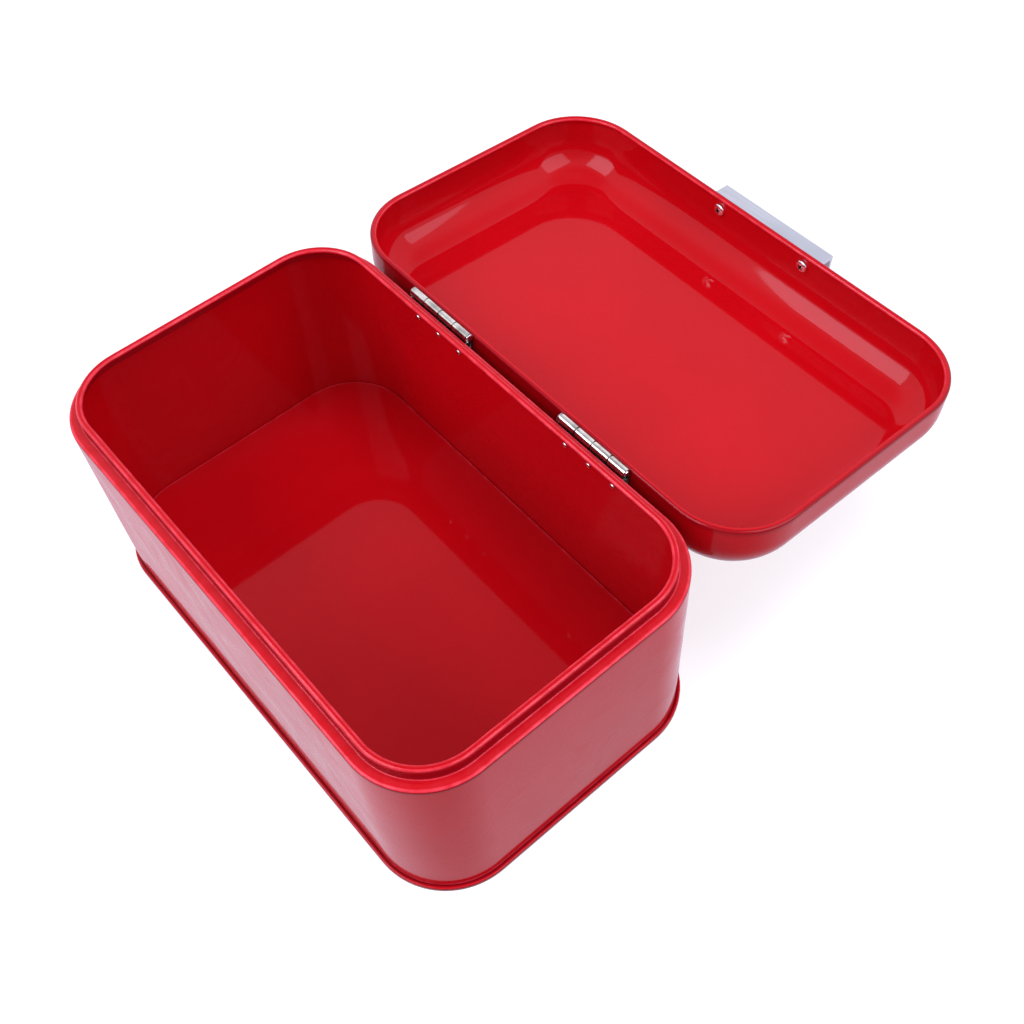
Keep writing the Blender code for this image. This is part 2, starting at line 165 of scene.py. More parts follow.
class Tone(Enum):
    """How far a point of a sheet's section is lightened as rubbed paint with a painted highlight,
    and darkened with painted shade.
    """

    CLEAN = (0.0, 0.0)
    TOUCHED = (0.15, 0.0)
    RUBBED = (0.9, 0.0)
    FAINT = (0.0, 0.12)
    DUSTY = (0.0, 0.35)
    SOILED = (0.0, 0.6)
    BLACKENED = (0.0, 0.85)


# ---- shader graphs --------------------------------------------------------------------------
class Graph:
    """Adds and links the nodes of one material that reads Object coordinates."""

    def __init__(self, name: str) -> None:
        """Start a material with its Principled shader.

        Args:
            name: The material's name.
        """
        self.material = bpy.data.materials.new(name)
        self.material.use_nodes = True
        self.nodes = self.material.node_tree.nodes
        self.links = self.material.node_tree.links
        self.shader = self.nodes["Principled BSDF"]
        self.place = self.nodes.new("ShaderNodeTexCoord").outputs["Object"]

    def link(self, source: bpy.types.NodeSocket, node: bpy.types.Node, name: str) -> None:
        """Link a socket to a node's named input.

        Args:
            source: The socket that is read.
            node: The node that takes it.
            name: The input's name.
        """
        self.links.new(source, node.inputs[name])

    def constants(self, **values: float) -> None:
        """Set values that are the same all over on the shader's own sockets.

        Args:
            **values: Socket names with underscores for spaces, and their values.
        """
        for name, value in values.items():
            self.shader.inputs[name.replace("_", " ")].default_value = value

    def noise(self, scale: float, detail: float = 2.0, stretch: Colour = (1.0, 1.0, 1.0),
              distortion: float = 0.0) -> bpy.types.NodeSocket:
        """Add a noise in object space.

        Args:
            scale: Features per metre.
            detail: Octaves of finer noise.
            stretch: Scale along each axis, smaller along the grain.
            distortion: How far the pattern is pulled about.

        Returns:
            The noise's value.
        """
        mapping = self.nodes.new("ShaderNodeMapping")
        mapping.inputs["Scale"].default_value = stretch
        self.link(self.place, mapping, "Vector")
        noise = self.nodes.new("ShaderNodeTexNoise")
        noise.inputs["Scale"].default_value = scale
        noise.inputs["Detail"].default_value = detail
        noise.inputs["Distortion"].default_value = distortion
        self.link(mapping.outputs["Vector"], noise, "Vector")
        return noise.outputs["Fac"]

    def remap(self, value: bpy.types.NodeSocket, source: Point,
              target: Point) -> bpy.types.NodeSocket:
        """Stretch a range of values over another, clamped at its ends.

        Args:
            value: The value to change.
            source: The two values that are read.
            target: What they become.

        Returns:
            The changed value.
        """
        node = self.nodes.new("ShaderNodeMapRange")
        node.inputs["From Min"].default_value = source[0]
        node.inputs["From Max"].default_value = source[1]
        node.inputs["To Min"].default_value = target[0]
        node.inputs["To Max"].default_value = target[1]
        self.link(value, node, "Value")
        return node.outputs["Result"]

    def times(self, first: bpy.types.NodeSocket,
              second: bpy.types.NodeSocket) -> bpy.types.NodeSocket:
        """Multiply two values.

        Args:
            first: One value.
            second: The other value.

        Returns:
            Their product.
        """
        node = self.nodes.new("ShaderNodeMath")
        node.operation = 'MULTIPLY'
        self.links.new(first, node.inputs[0])
        self.links.new(second, node.inputs[1])
        return node.outputs["Value"]

    def mix(self, factor: bpy.types.NodeSocket, first: Colour | bpy.types.NodeSocket,
            second: Colour) -> bpy.types.NodeSocket:
        """Blend from a first colour to a second.

        Args:
            factor: 0 for the first colour, 1 for the second.
            first: A colour or a colour socket.
            second: A colour.

        Returns:
            The blended colour.
        """
        node = self.nodes.new("ShaderNodeMix")
        node.data_type = 'RGBA'
        self.links.new(factor, node.inputs[0])
        if isinstance(first, tuple):
            node.inputs[6].default_value = (*first, 1.0)
        else:
            self.links.new(first, node.inputs[6])
        node.inputs[7].default_value = (*second, 1.0)
        return node.outputs[2]

    def attribute(self, name: str) -> bpy.types.NodeSocket:
        """Read a number that the mesh carries at its points.

        Args:
            name: The attribute's name.

        Returns:
            The attribute's value.
        """
        node = self.nodes.new("ShaderNodeAttribute")
        node.attribute_name = name
        return node.outputs["Fac"]

    def bump(self, height: bpy.types.NodeSocket, distance: float,
             under: bpy.types.NodeSocket | None = None) -> bpy.types.NodeSocket:
        """Add relief.

        Args:
            height: The relief from 0 to 1.
            distance: Its depth in metres.
            under: A normal that the relief lies on.

        Returns:
            The bumped normal.
        """
        node = self.nodes.new("ShaderNodeBump")
        node.inputs["Strength"].default_value = 1.0
        node.inputs["Distance"].default_value = distance
        self.link(height, node, "Height")
        if under is not None:
            self.link(under, node, "Normal")
        return node.outputs["Normal"]

    def finish(self, colour: bpy.types.NodeSocket, roughness: bpy.types.NodeSocket,
               normal: bpy.types.NodeSocket) -> bpy.types.Material:
        """Link the three varying inputs and hand over the material.

        Args:
            colour: Base colour.
            roughness: Roughness of the base layer.
            normal: Bumped normal.

        Returns:
            The finished material.
        """
        self.link(colour, self.shader, "Base Color")
        self.link(roughness, self.shader, "Roughness")
        self.link(normal, self.shader, "Normal")
        return self.material


# ---- finishes -------------------------------------------------------------------------------
@dataclass(frozen=True)
class Enamel:
    """Stoved red gloss enamel on steel sheet, rubbed thin and lighter along its rims with painted
    highlights, and darker in its creases with painted shade.
    """

    colour: Colour = (0.415, 0.0014, 0.0044)
    deep: Colour = (0.380, 0.0010, 0.0036)
    worn_highlight: Colour = (0.60, 0.035, 0.052)
    painted_shade: Colour = (0.130, 0.0010, 0.0045)
    fleck: Colour = (0.34, 0.003, 0.006)
    roughness: Point = (0.22, 0.36)
    coat: float = 0.38
    coat_roughness: float = 0.05
    specular: float = 0.012
    wave: float = 0.022 * MM
    peel: float = 0.00025 * MM

    def build(self, name: str) -> bpy.types.Material:
        """Make the material: drift in the red, flecks, rims lightened with painted highlights,
        creases darkened with painted shade, smears, waves and orange peel.

        Args:
            name: The material's name.

        Returns:
            The material.
        """
        graph = Graph(name)
        graph.constants(Coat_Weight=self.coat, Coat_Roughness=self.coat_roughness,
                        Coat_IOR=1.5, Specular_IOR_Level=self.specular)
        drift = graph.remap(graph.noise(11.0, 3.0), (0.35, 0.65), (0.0, 1.0))
        colour = graph.mix(drift, self.colour, self.deep)
        flecks = graph.remap(graph.noise(620.0, 1.0), (0.735, 0.76), (0.0, 0.5))
        colour = graph.mix(flecks, colour, self.fleck)
        patchy = graph.remap(graph.noise(160.0, 4.0), (0.38, 0.60), (0.45, 1.0))
        # Rims and bends lighter: patchy rubbed paint together with painted highlight lines.
        colour = graph.mix(graph.times(graph.attribute(WEAR_AND_HIGHLIGHT), patchy), colour, self.worn_highlight)
        # Creases, seams and gaps darker: painted shade.
        colour = graph.mix(graph.attribute(SHADE_MASK), colour, self.painted_shade)
        smears = graph.noise(34.0, 5.0, distortion=1.2)
        roughness = graph.remap(smears, (0.35, 0.7), self.roughness)
        waves = graph.bump(graph.noise(13.0, 1.0), self.wave)
        peel = graph.bump(graph.noise(260.0, 1.0), self.peel, waves)
        graph.link(peel, graph.shader, "Coat Normal")
        return graph.finish(colour, roughness, peel)


@dataclass(frozen=True)
class Plate:
    """Bright plated or bare metal with a grain drawn along one axis."""

    colour: Colour
    dull: Colour
    roughness: Point
    grain: Colour
    grain_scale: float
    depth: float
    stain_scale: float = 90.0
    painted_shade: Colour = (0.03, 0.022, 0.02)

    def build(self, name: str) -> bpy.types.Material:
        """Make the material: grain in colour, gloss and relief, with duller stains, and darkened
        with painted shade where the mesh carries it.

        Args:
            name: The material's name.

        Returns:
            The material.
        """
        graph = Graph(name)
        graph.constants(Metallic=1.0)
        grain = graph.noise(self.grain_scale, 4.0, self.grain)
        stain = graph.remap(graph.noise(self.stain_scale, 4.0, distortion=0.6),
                            (0.42, 0.72), (0.0, 1.0))
        colour = graph.mix(stain, self.colour, self.dull)
        colour = graph.mix(graph.remap(grain, (0.48, 0.66), (0.0, 0.55)), colour, self.dull)
        # Darker where the mesh carries painted shade, as on the hinge barrels' lower half.
        colour = graph.mix(graph.attribute(SHADE_MASK), colour, self.painted_shade)
        roughness = graph.remap(grain, (0.3, 0.7), self.roughness)
        return graph.finish(colour, roughness, graph.bump(grain, self.depth))


NICKEL = Plate(colour=(0.84, 0.81, 0.70), dull=(0.34, 0.32, 0.27), roughness=(0.12, 0.30),
               grain=(0.06, 1.0, 1.0), grain_scale=900.0, depth=0.01 * MM)
BRIGHT_STEEL = Plate(colour=(0.86, 0.86, 0.86), dull=(0.58, 0.58, 0.57), roughness=(0.10, 0.26),
                     grain=(1.0, 1.0, 1.0), grain_scale=1100.0, depth=0.006 * MM)
# Near-black steel for the screws' cross recesses: painted shade.
SHADED_RECESS_STEEL = Plate(colour=(0.10, 0.09, 0.09), dull=(0.05, 0.045, 0.045), roughness=(0.35, 0.5),
                   grain=(1.0, 1.0, 1.0), grain_scale=1100.0, depth=0.006 * MM)
SATIN_ALUMINIUM = Plate(colour=(0.62, 0.63, 0.64), dull=(0.54, 0.55, 0.57),
                        roughness=(0.34, 0.48), grain=(0.03, 1.0, 1.0), grain_scale=1300.0,
                        depth=0.008 * MM, stain_scale=24.0)


# ---- mesh helpers ---------------------------------------------------------------------------
@dataclass
class Section:
    """The middle line of a bent sheet: outward distance, height and tone at each point."""

    points: list[tuple[float, float, Tone]] = field(default_factory=list)

    def to(self, outward: float, height: float, tone: Tone = Tone.CLEAN) -> "Section":
        """Add one point.

        Args:
            outward: Distance outwards from the outline.
            height: Height above the floor.
            tone: The paint's tone there.

        Returns:
            The section.
        """
        self.points.append((outward, height, tone))
        return self

    def arc(self, centre: Point, radius: float, start: float, end: float, steps: int,
            tone: Tone = Tone.CLEAN) -> "Section":
        """Add an arc.

        Args:
            centre: Outward distance and height of its centre.
            radius: Its radius.
            start: First angle in degrees, from outwards towards up.
            end: Last angle in degrees.
            steps: How many chords it has.
            tone: The paint's tone along it.

        Returns:
            The section.
        """
        for i in range(steps + 1):
            angle = math.radians(start + (end - start) * i / steps)
            self.to(centre[0] + radius * math.cos(angle), centre[1] + radius * math.sin(angle),
                    tone)
        return self


def edges_of(geometry: list) -> list[bmesh.types.BMEdge]:
    """Keep the edges of an operator's result."""
    return [item for item in geometry if isinstance(item, bmesh.types.BMEdge)]


def verts_of(geometry: list) -> list[bmesh.types.BMVert]:
    """Keep the vertices of an operator's result."""
    return [item for item in geometry if isinstance(item, bmesh.types.BMVert)]


def draw_out(bm: bmesh.types.BMesh, edges: list, move: Vector) -> list[bmesh.types.BMEdge]:
    """Extrude edges along a straight move.

    Args:
        bm: The mesh.
        edges: The edges to extrude.
        move: How far and which way.

    Returns:
        The edges at the far end.
    """
    made = bmesh.ops.extrude_edge_only(bm, edges=edges)["geom"]
    bmesh.ops.translate(bm, verts=verts_of(made), vec=move)
    return edges_of(made)


def turn_round(bm: bmesh.types.BMesh, edges: list, centre: Vector, axis: Vector, angle: float,
               steps: int) -> list[bmesh.types.BMEdge]:
    """Extrude edges round an axis.

    Args:
        bm: The mesh.
        edges: The edges to turn.
        centre: A point on the axis.
        axis: The axis.
        angle: How far they turn, in radians.
        steps: How many chords the turn has.

    Returns:
        The edges at the far end.
    """
    verts = list({vert for edge in edges for vert in edge.verts})
    return edges_of(bmesh.ops.spin(bm, geom=edges + verts, cent=centre, axis=axis, angle=angle,
                                   steps=steps)["geom_last"])


def chain(bm: bmesh.types.BMesh, points: list[Vector]) -> list[bmesh.types.BMEdge]:
    """Lay a few vertices in a row and join them with edges.

    Args:
        bm: The mesh.
        points: Where the vertices go.

    Returns:
        The edges, in order.
    """
    verts = [bm.verts.new(point) for point in points]
    return [bm.edges.new(pair) for pair in zip(verts, verts[1:])]


def shade(bm: bmesh.types.BMesh) -> None:
    """Shade faces smooth, with open edges and tight folds sharp.

    Args:
        bm: The mesh.
    """
    for face in bm.faces:
        face.smooth = True
    for edge in bm.edges:
        edge.smooth = edge.is_manifold and edge.calc_face_angle(0.0) < SHARP_ANGLE


def thicken(piece: bpy.types.Object, thickness: float) -> None:
    """Give a sheet its thickness, half to each side.

    Args:
        piece: The open sheet.
        thickness: Its thickness.
    """
    modifier = piece.modifiers.new("sheet", 'SOLIDIFY')
    modifier.thickness = thickness
    modifier.offset = 0.0
    modifier.use_even_offset = True


def soften(piece: bpy.types.Object, width: float, segments: int = 2) -> None:
    """Round a piece's sharp edges.

    Args:
        piece: The piece.
        width: How far the rounding reaches from the edge.
        segments: How many chords it has.
    """
    modifier = piece.modifiers.new("edges", 'BEVEL')
    modifier.width = width
    modifier.segments = segments
    modifier.limit_method = 'ANGLE'
    modifier.angle_limit = SHARP_ANGLE
    modifier.harden_normals = True


def apply_modifiers(piece: bpy.types.Object) -> None:
    """Replace a piece's mesh with its evaluated one.

    Args:
        piece: The piece, whose modifiers are cleared.
    """
    graph = bpy.context.evaluated_depsgraph_get()
    mesh = bpy.data.meshes.new_from_object(piece.evaluated_get(graph))
    piece.modifiers.clear()
    piece.data = mesh


def make_object(name: str, bm: bmesh.types.BMesh,
                material: bpy.types.Material | None = None) -> bpy.types.Object:
    """Turn a bmesh into an object at the origin.

    Args:
        name: The object's name.
        bm: The mesh, which is freed.
        material: Its material, if it has one.

    Returns:
        The object.
    """
    mesh = bpy.data.meshes.new(name)
    bm.to_mesh(mesh)
    bm.free()
    piece = bpy.data.objects.new(name, mesh)
    bpy.context.scene.collection.objects.link(piece)
    if material is not None:
        mesh.materials.append(material)
    return piece


def settle(piece: bpy.types.Object, body: Body, slot: Slot, *nodes: str) -> bpy.types.Object:
    """Let a finished piece ride on its body in place of the solids it stands for.

    Args:
        piece: The finished piece.
        body: The body it rides on.
        slot: The record's material slot; not used.
        *nodes: The solids that it replaces.

    Returns:
        The piece.
    """
    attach(piece, body.value)
    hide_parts(*nodes)
    LOG.info("%s rides on %s in place of %s", piece.name, body.value, ", ".join(nodes))
    return piece


@dataclass(frozen=True)
class RoundedBox:
    """The rounded outline that the body's and the lid's sheets run round."""

    sizes: Measures
    corner_steps: int = 24
    support: float = 1.5 * MM

    def sweep(self, section: Section, fill_height: float | None = None) -> bmesh.types.BMesh:
        """Run a section round the outline.

        Args:
            section: The sheet's middle line.
            fill_height: Height of the flat that closes the section's inner end, if it has one.

        Returns:
            The open sheet.
        """
        sizes = self.sizes
        straight = Vector((sizes.length - 2 * sizes.corner, sizes.width - 2 * sizes.corner, 0.0))
        bm = bmesh.new()
        # Each vertex carries its rubbed-paint highlight and its painted shade from the section's
        # tones.
        highlit_wear, painted_shade = (bm.verts.layers.float.new(name) for name in (WEAR_AND_HIGHLIGHT, SHADE_MASK))
        edges = chain(bm, [Vector((-straight.x / 2, sizes.front - outward, height))
                           for outward, height, _ in section.points])
        for vert, (_, _, tone) in zip(bm.verts, section.points):
            vert[highlit_wear], vert[painted_shade] = tone.value
        for along, corner in (((1, 0), (1, -1)), ((0, 1), (1, 1)), ((-1, 0), (-1, 1)),
                              ((0, -1), (-1, -1))):
            direction = Vector((*along, 0.0))
            run = abs(direction.dot(straight))
            for part in (self.support, run - 2 * self.support, self.support):
                edges = draw_out(bm, edges, direction * part)
            centre = Vector((corner[0] * straight.x / 2,
                             sizes.centre_y + corner[1] * straight.y / 2, 0.0))
            edges = turn_round(bm, edges, centre, Vector((0, 0, 1)), math.pi / 2,
                               self.corner_steps)
        bmesh.ops.remove_doubles(bm, verts=bm.verts, dist=MERGE)
        if fill_height is not None:
            ring = [edge for edge in bm.edges if edge.is_boundary
                    and all(abs(vert.co.z - fill_height) < MERGE for vert in edge.verts)]
            bmesh.ops.contextual_create(bm, geom=ring)
        bmesh.ops.recalc_face_normals(bm, faces=bm.faces)
        shade(bm)
        return bm


# ---- body -----------------------------------------------------------------------------------
@dataclass
class BodyShell:
    """The body's wall with its neck and rolled rim, and the bottom panel seamed to it."""

    sizes: Measures
    paint: bpy.types.Material
    bend: float = 0.8 * MM
    shoulder: float = 1.3 * MM
    neck_inset: float = 5.7 * MM
    bead: float = 1.75 * MM
    bead_sweep: float = 300.0
    floor_fold: float = 0.4 * MM
    seam_height: float = 3.5 * MM
    support: float = 1.5 * MM

    def wall_section(self) -> Section:
        """Trace the wall's sheet: base flange, wall, shoulder, ledge, neck and rolled rim.

        Returns:
            The section, with painted shade in its creases and painted highlights on its rubbed
            outer bends.
        """
        sizes = self.sizes
        sheet = sizes.sheet
        wall = -sizes.half
        flange = sheet + sizes.gap + sizes.half
        ledge = sizes.ledge - sizes.half
        neck = -self.neck_inset - sizes.half
        foot = (wall + self.bend, flange + self.bend)
        shoulder = (wall - self.shoulder, ledge - self.shoulder)
        crease = (neck + self.bend, ledge + self.bend)
        bead = (-self.neck_inset - self.bead, sizes.rim_height - self.bead)
        roll = self.bead - sizes.half
        section = Section().to(sizes.seam - sheet - sizes.gap, flange, Tone.BLACKENED)
        section.arc(foot, self.bend, 270, 180, 5, Tone.BLACKENED)
        section.to(wall, self.seam_height - sheet, Tone.BLACKENED)
        section.to(wall, self.seam_height, Tone.RUBBED)
        section.to(wall, self.seam_height + 2 * sheet, Tone.RUBBED)
        section.to(wall, self.seam_height + 4 * sheet)
        section.to(wall, shoulder[1] - self.support)
        section.to(wall, shoulder[1] - sheet, Tone.SOILED)
        section.arc(shoulder, self.shoulder, 0, 25, 3, Tone.SOILED)
        section.arc(shoulder, self.shoulder, 35, 75, 4, Tone.RUBBED)
        section.to(shoulder[0], ledge, Tone.TOUCHED)
        section.to(crease[0] + sizes.half, ledge, Tone.TOUCHED)
        section.arc(crease, self.bend, 270, 225, 3, Tone.RUBBED)
        section.arc(crease, self.bend, 215, 180, 3, Tone.SOILED)
        section.to(neck, bead[1] - self.bead, Tone.SOILED)
        section.arc(bead, roll, 0, 20, 2, Tone.DUSTY)
        section.arc(bead, roll, 30, 60, 4, Tone.RUBBED)
        section.arc(bead, roll, 75, 105, 3, Tone.FAINT)
        section.arc(bead, roll, 120, 160, 4, Tone.RUBBED)
        section.arc(bead, roll, 175, self.bead_sweep, 12, Tone.DUSTY)
        return section

    def panel_section(self) -> Section:
        """Trace the panel's sheet: floor, skirt and the seam hooked over the wall's flange.

        Returns:
            The section, with a painted highlight on the floor's rubbed fold and painted shade on
            the seam.
        """
        sizes = self.sizes
        skirt = -sizes.sheet - sizes.gap - sizes.half
        seam = sizes.seam - sizes.half
        floor = sizes.floor_height - sizes.half
        top = self.seam_height - sizes.half
        edge = self.floor_fold
        fold = self.bend - sizes.half / 2
        section = Section().to(skirt - edge - 2 * self.support, floor)
        section.to(skirt - edge - self.support, floor)
        section.to(skirt - edge - sizes.half, floor, Tone.TOUCHED)
        section.arc((skirt - edge, floor - edge), edge, 90, 0, 6, Tone.RUBBED)
        section.to(skirt, floor - edge - self.support)
        section.to(skirt, sizes.half + fold + self.support)
        section.arc((skirt + fold, sizes.half + fold), fold, 180, 270, 6, Tone.BLACKENED)
        section.arc((seam - fold, sizes.half + fold), fold, 270, 360, 6, Tone.BLACKENED)
        section.arc((seam - fold, top - fold), fold, 0, 30, 3, Tone.SOILED)
        section.arc((seam - fold, top - fold), fold, 45, 65, 2, Tone.TOUCHED)
        section.to(seam - fold, top, Tone.DUSTY)
        section.to(sizes.gap, top, Tone.BLACKENED)
        return section

    def build(self) -> None:
        """Make both sheets and set them in place of the body's solids."""
        outline = RoundedBox(self.sizes)
        wall = make_object("enamel_body_wall", outline.sweep(self.wall_section()), self.paint)
        panel_mesh = outline.sweep(self.panel_section(), self.sizes.floor_height - self.sizes.half)
        panel = make_object("enamel_bottom_panel", panel_mesh, self.paint)
        thicken(wall, self.sizes.sheet)
        thicken(panel, self.sizes.sheet)
        settle(wall, Body.BODY, Slot.PAINT, "body_wall")
        settle(panel, Body.BODY, Slot.PAINT, "bottom_panel")


# ---- lid ------------------------------------------------------------------------------------
@dataclass
class LidShell:
    """The lid's shallow dish: a rolled hem, an upright wall and a large curve to its flat."""

    sizes: Measures
    paint: bpy.types.Material
    depth: float = 39.2 * MM
    curve: float = 23.8 * MM
    bead: float = 1.75 * MM
    bead_sweep: float = 300.0
    support: float = 1.5 * MM

    def section(self) -> Section:
        """Trace the closed lid's sheet, from its rolled hem to the edge of its flat.

        Returns:
            The section, with painted highlights inside the rubbed hem and painted shade outside.
        """
        sizes = self.sizes
        wall = -sizes.half
        top = sizes.seat + self.depth
        hem = (-self.bead, sizes.seat + self.bead)
        roll = self.bead - sizes.half
        section = Section()
        section.arc(hem, roll, -self.bead_sweep, -180, 12)
        section.arc(hem, roll, -165, -140, 3, Tone.RUBBED)
        section.arc(hem, roll, -125, -85, 4, Tone.FAINT)
        section.arc(hem, roll, -70, 0, 6, Tone.SOILED)
        section.to(wall, hem[1] + self.support / 2, Tone.DUSTY)
        section.to(wall, hem[1] + 2 * self.support)
        section.to(wall, top - self.curve - self.support)
        section.arc((-self.curve, top - self.curve), self.curve + wall, 0, 90, 20)
        section.to(-self.curve - self.support, top - sizes.half)
        section.to(-self.curve - 2 * self.support, top - sizes.half)
        return section

    def build(self) -> None:
        """Make the dish, lay it open and set it in place of the lid's solid."""
        flat = self.sizes.seat + self.depth - self.sizes.half
        bm = RoundedBox(self.sizes).sweep(self.section(), flat)
        bmesh.ops.transform(bm, matrix=self.sizes.lid_swing, verts=bm.verts)
        dish = make_object("enamel_lid_dish", bm, self.paint)
        thicken(dish, self.sizes.sheet)
        settle(dish, Body.LID, Slot.PAINT, "lid_shell")


# ---- turned pieces --------------------------------------------------------------------------
@dataclass(frozen=True)
class Turning:
    """A round piece turned from a profile of (radius, height) points about its own axis."""

    profile: list[Point]
    steps: int = 40

    def mesh(self, place: Matrix) -> bmesh.types.BMesh:
        """Turn the profile and put it in place.

        Args:
            place: Where the piece's foot goes and which way its axis points.

        Returns:
            The closed round mesh.
        """
        bm = bmesh.new()
        edges = chain(bm, [Vector((radius, 0.0, height)) for radius, height in self.profile])
        bmesh.ops.spin(bm, geom=edges + list(bm.verts), cent=(0, 0, 0), axis=(0, 0, 1),
                       angle=2 * math.pi, steps=self.steps, use_merge=True)
        bmesh.ops.remove_doubles(bm, verts=bm.verts, dist=MERGE)
        bmesh.ops.recalc_face_normals(bm, faces=bm.faces)
        shade(bm)
        bmesh.ops.transform(bm, matrix=place, verts=bm.verts)
        return bm


def dome(radius: float, foot: float, rise: float, steps: int = 6) -> list[Point]:
    """Points of a low dome's profile, from its crown on the axis to its edge.

    Args:
        radius: Radius at the edge.
        foot: Height of the edge.
        rise: Height of the crown above the edge.
        steps: How many chords it has.

    Returns:
        Radius and height of each point.
    """
    angles = [math.pi / 2 * i / steps for i in range(steps + 1)]
    return [(radius * math.sin(angle), foot + rise * math.cos(angle)) for angle in angles]


# ---- hinges ---------------------------------------------------------------------------------
@dataclass
class Hinge:
    """One butt hinge: two leaves rolled into knuckles, a headed pin and six rivets."""

    sizes: Measures
    side: str
    plating: bpy.types.Material
    steel: bpy.types.Material
    knuckles: int = 4
    knuckle_radius: float = 2.45 * MM
    leaf: float = 0.8 * MM
    height: float = 19.0 * MM
    corner: float = 1.8 * MM
    roll_sweep: float = 285.0
    roll_steps: int = 30
    rivet_radius: float = 1.2 * MM
    rivet_head: float = 2.1 * MM
    rivet_tail: float = 1.7 * MM
    rivet_edge: float = 0.12 * MM
    tail_edge: float = 0.15 * MM
    tail_rise: float = 0.75 * MM
    rivet_steps: int = 28
    pin_head: float = 0.8 * MM
    pin_edge: float = 0.25 * MM
    pin_rise: float = 0.5 * MM
    pin_chamfer: float = 0.3 * MM
    leaf_edge: float = 0.12 * MM
    corner_steps: int = 5
    knuckle_gap: float = 0.75 * MM
    # Painted shade under each barrel: where it starts above the axis, how far it deepens, how deep
    # it gets and how much it fades on the plates.
    shade_from: float = 1.5 * MM
    shade_depth: float = 1.9 * MM
    shade_most: float = 0.85
    shade_fade: float = 0.75

    def __post_init__(self) -> None:
        """Read the hinge's place from its solids."""
        low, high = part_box(f"{self.side}_hinge_body_leaf")
        self.start = low.x - self.sizes.gap / 2
        self.length = high.x - low.x + self.sizes.gap
        self.roll = self.knuckle_radius - self.leaf / 2
        self.plate_y = self.sizes.axis.y - self.roll

    def breaks(self) -> list[tuple[float, float]]:
        """Divide the hinge's length into its knuckles.

        Returns:
            X from and to of each knuckle.
        """
        pitch = self.length / self.knuckles
        half_gap = self.knuckle_gap / 2
        return [(self.start + i * pitch + half_gap, self.start + (i + 1) * pitch - half_gap)
                for i in range(self.knuckles)]

    def leaf_mesh(self, side: int) -> bmesh.types.BMesh:
        """Cut the blank, roll its tabs and leave the plate flat.

        Args:
            side: -1 for the body's leaf below the axis, 1 for the closed lid's above it.

        Returns:
            The leaf's middle surface.
        """
        axis = self.sizes.axis
        own = 1 if side < 0 else 0
        tabs = [span for i, span in enumerate(self.breaks()) if i % 2 == own]
        half_gap = self.sizes.gap / 2
        xs = sorted({self.start + half_gap, self.start + self.length - half_gap,
                     *(x for span in tabs for x in span)})
        shoulder = axis.z + side * (self.knuckle_radius + self.sizes.gap)
        bm = bmesh.new()
        row = chain(bm, [Vector((x, self.plate_y, shoulder)) for x in xs])
        plate = draw_out(bm, row, Vector((0, 0, side * (self.height - abs(shoulder - axis.z)))))
        ends = {xs[0], xs[-1]}
        corners = [vert for edge in plate for vert in edge.verts
                   if any(abs(vert.co.x - end) < MERGE for end in ends)]
        middles = {start: (start + end) / 2 for start, end in tabs}
        rolled = [edge for edge in row
                  if any(abs(sum(vert.co.x for vert in edge.verts) / 2 - middle) < MERGE
                         for middle in middles.values())]
        tops = draw_out(bm, rolled, Vector((0, 0, axis.z - shoulder)))
        turn_round(bm, tops, Vector((0, axis.y, axis.z)), Vector((side, 0, 0)),
                   math.radians(self.roll_sweep), self.roll_steps)
        bmesh.ops.bevel(bm, geom=list(set(corners)), affect='VERTICES', offset=self.corner,
                        segments=self.corner_steps, profile=0.5, material=-1)
        bmesh.ops.remove_doubles(bm, verts=bm.verts, dist=MERGE)
        bmesh.ops.recalc_face_normals(bm, faces=bm.faces)
        shade(bm)
        return bm

    def paint_barrel_shade(self, bm: bmesh.types.BMesh) -> None:
        """Paint shade: none on the top of the barrel, most on its lower half, less on the plates
        further down.

        Args:
            bm: A leaf where it rests on the open box.
        """
        painted_shade = bm.verts.layers.float.new(SHADE_MASK)
        for vert in bm.verts:
            below = self.sizes.axis.z + self.shade_from - vert.co.z
            deepening = min(1.0, max(0.0, below / self.shade_depth))
            fading = min(1.0, max(0.0, below / self.shade_depth - 2.0))
            vert[painted_shade] = self.shade_most * deepening * (1.0 - self.shade_fade * fading)

    def build_leaf(self, side: int) -> None:
        """Make one leaf and set it in place of its solid.

        Args:
            side: -1 for the body's leaf, 1 for the lid's.
        """
        bm = self.leaf_mesh(side)
        owner = Body.BODY if side < 0 else Body.LID
        if owner is Body.LID:
            bmesh.ops.transform(bm, matrix=self.sizes.lid_swing, verts=bm.verts)
        self.paint_barrel_shade(bm)
        piece = make_object(f"{self.side}_hinge_{owner.value}_plate", bm, self.plating)
        thicken(piece, self.leaf)
        soften(piece, self.leaf_edge)
        settle(piece, owner, Slot.NICKEL, f"{self.side}_hinge_{owner.value}_leaf")

    def build_pin(self) -> None:
        """Make the pin with its peened head at the end nearer the box's middle."""
        node = f"{self.side}_hinge_pin"
        low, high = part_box(node)
        headed_right = self.side == "left"
        radius = self.knuckle_radius - self.leaf - self.sizes.gap / 2
        length = high.x - low.x
        head = self.pin_head
        profile = dome(self.knuckle_radius, length - head + self.pin_edge, self.pin_rise)
        profile += [(self.knuckle_radius, length - head), (radius, length - head),
                    (radius, self.pin_chamfer), (radius - self.pin_chamfer, 0.0), (0.0, 0.0)]
        turn = Matrix.Rotation(math.pi / 2 if headed_right else -math.pi / 2, 4, 'Y')
        foot = Vector((low.x if headed_right else high.x, self.sizes.axis.y, self.sizes.axis.z))
        piece = make_object(f"{self.side}_hinge_peened_pin",
                            Turning(profile).mesh(Matrix.Translation(foot) @ turn), self.steel)
        settle(piece, Body.BODY, Slot.STEEL, node)

